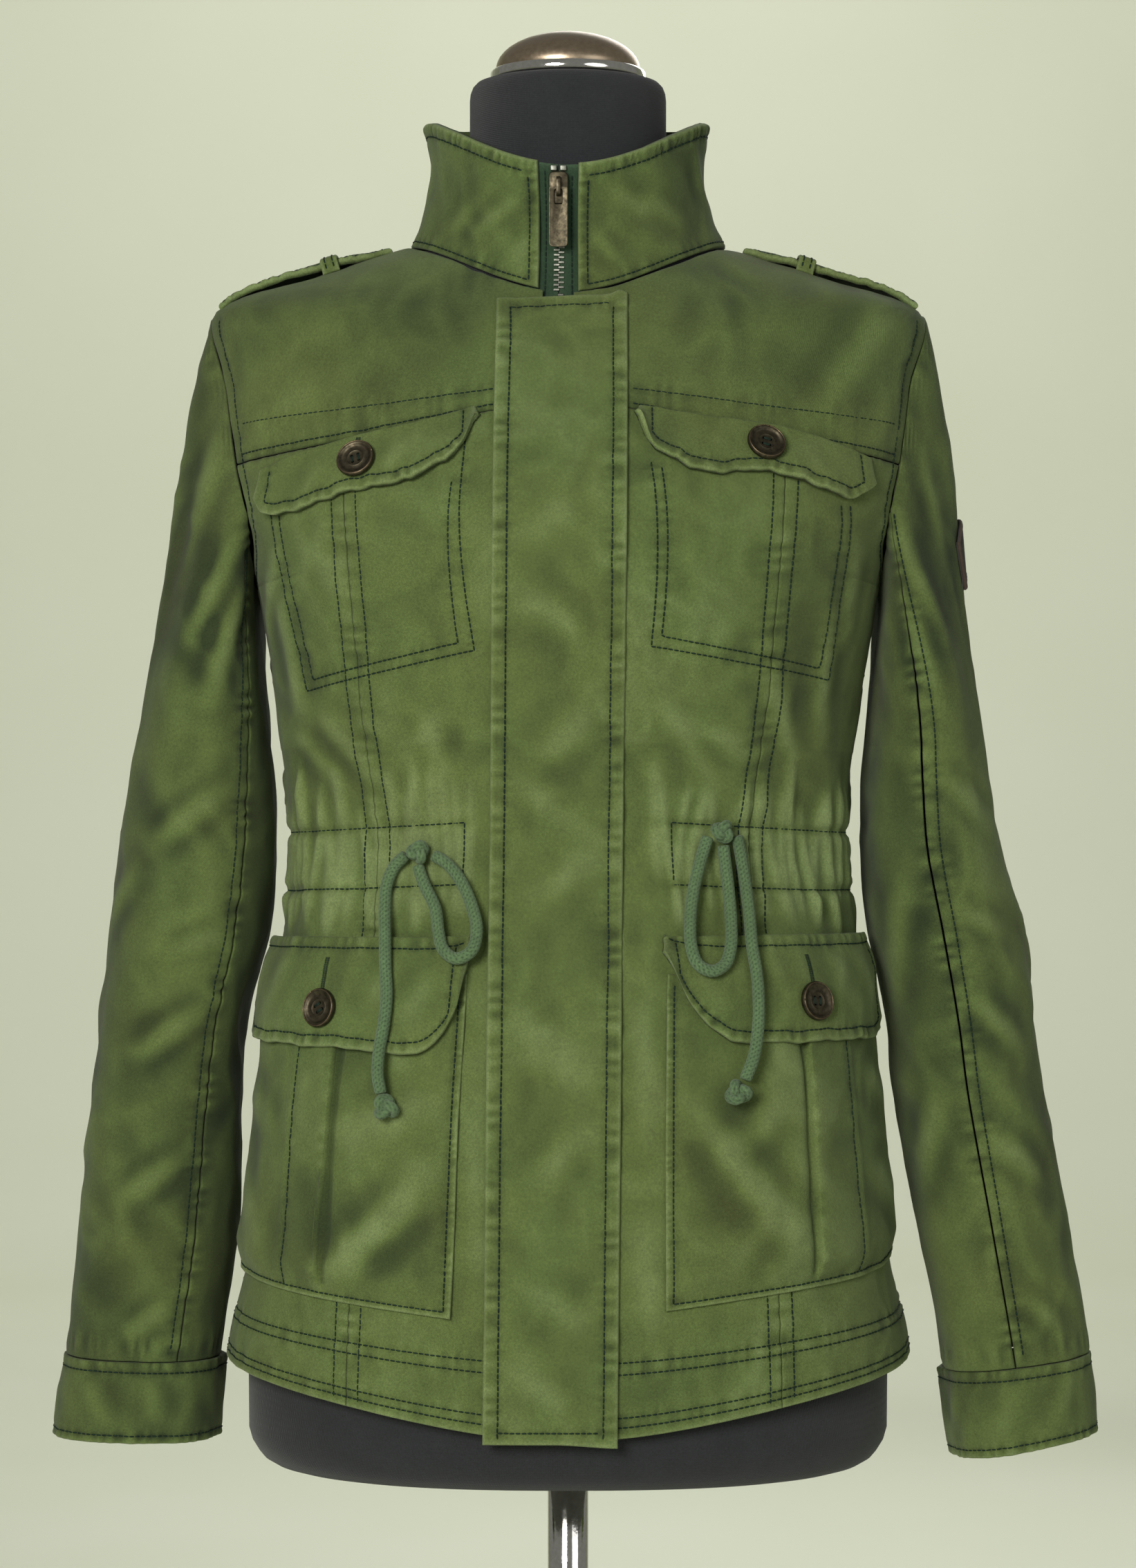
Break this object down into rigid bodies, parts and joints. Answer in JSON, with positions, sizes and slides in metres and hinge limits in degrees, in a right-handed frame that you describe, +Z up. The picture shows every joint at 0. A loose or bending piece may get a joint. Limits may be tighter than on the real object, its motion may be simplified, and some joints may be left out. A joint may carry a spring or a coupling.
{
  "type": "cotton jacket on dress form",
  "caption": "Olive cotton utility jacket with a fly front, flap pockets and waist drawcord, worn by a limbless dress form on a pole and round base.",
  "frame": {"origin": "centre of the round base's underside, on the floor under the pole", "axes": "+Z up along the pole, -Y the way the jacket's front faces, +X towards the wearer's left"},
  "size_m": [0.5604, 0.34, 1.2668],
  "materials": {
    "olive_cotton": "washed olive green cotton twill with paler worn edges",
    "zip_tape": "dark green woven tape",
    "cord": "round braided green cotton cord",
    "antique_bronze": "dark antiqued metal, rubbed bright at the rims",
    "patch": "plain dark woven patch",
    "form_cover": "fine black knit stretched over the form",
    "neck_cap": "satin champagne dome in a bright rim",
    "chrome": "polished chrome"
  },
  "bodies": {
    "root": {"front_centre_right": "olive_cotton", "front_centre_left": "olive_cotton", "front_side_right": "olive_cotton", "front_side_left": "olive_cotton", "yoke_front_right": "olive_cotton", "yoke_front_left": "olive_cotton", "chest_flap_right": "olive_cotton", "chest_flap_left": "olive_cotton", "hip_pocket_right": "olive_cotton", "hip_pocket_left": "olive_cotton", "hip_flap_right": "olive_cotton", "hip_flap_left": "olive_cotton", "epaulette_right": "olive_cotton", "epaulette_left": "olive_cotton", "epaulette_loop_right": "olive_cotton", "epaulette_loop_left": "olive_cotton", "sleeve_top_right": "olive_cotton", "sleeve_top_left": "olive_cotton", "sleeve_under_right": "olive_cotton", "sleeve_under_left": "olive_cotton", "cuff_right": "olive_cotton", "cuff_left": "olive_cotton", "back": "olive_cotton", "placket": "olive_cotton", "collar": "olive_cotton", "zip_tape_right": "zip_tape", "zip_tape_left": "zip_tape", "drawcord_loop_right": "cord", "drawcord_loop_left": "cord", "drawcord_tail_right": "cord", "drawcord_tail_left": "cord", "cord_knot_right": "cord", "cord_knot_left": "cord", "cord_end_right": "cord", "cord_end_left": "cord", "chest_button_right": "antique_bronze", "chest_button_left": "antique_bronze", "hip_button_right": "antique_bronze", "hip_button_left": "antique_bronze", "zip_slider": "antique_bronze", "sleeve_badge": "patch", "form_torso": "form_cover", "form_neck_cap": "neck_cap", "stand_pole": "chrome", "stand_base": "chrome"},
    "pull_tab": {"zip_pull_tab": "antique_bronze"}
  },
  "joints": [
    {"name": "pull_tab_swing", "type": "hinge", "parent": "root", "child": "pull_tab", "pos_m": [-0.005, -0.06857, 1.174], "axis": [-1, 0, 0], "range_deg": [0, 150]}
  ]
}
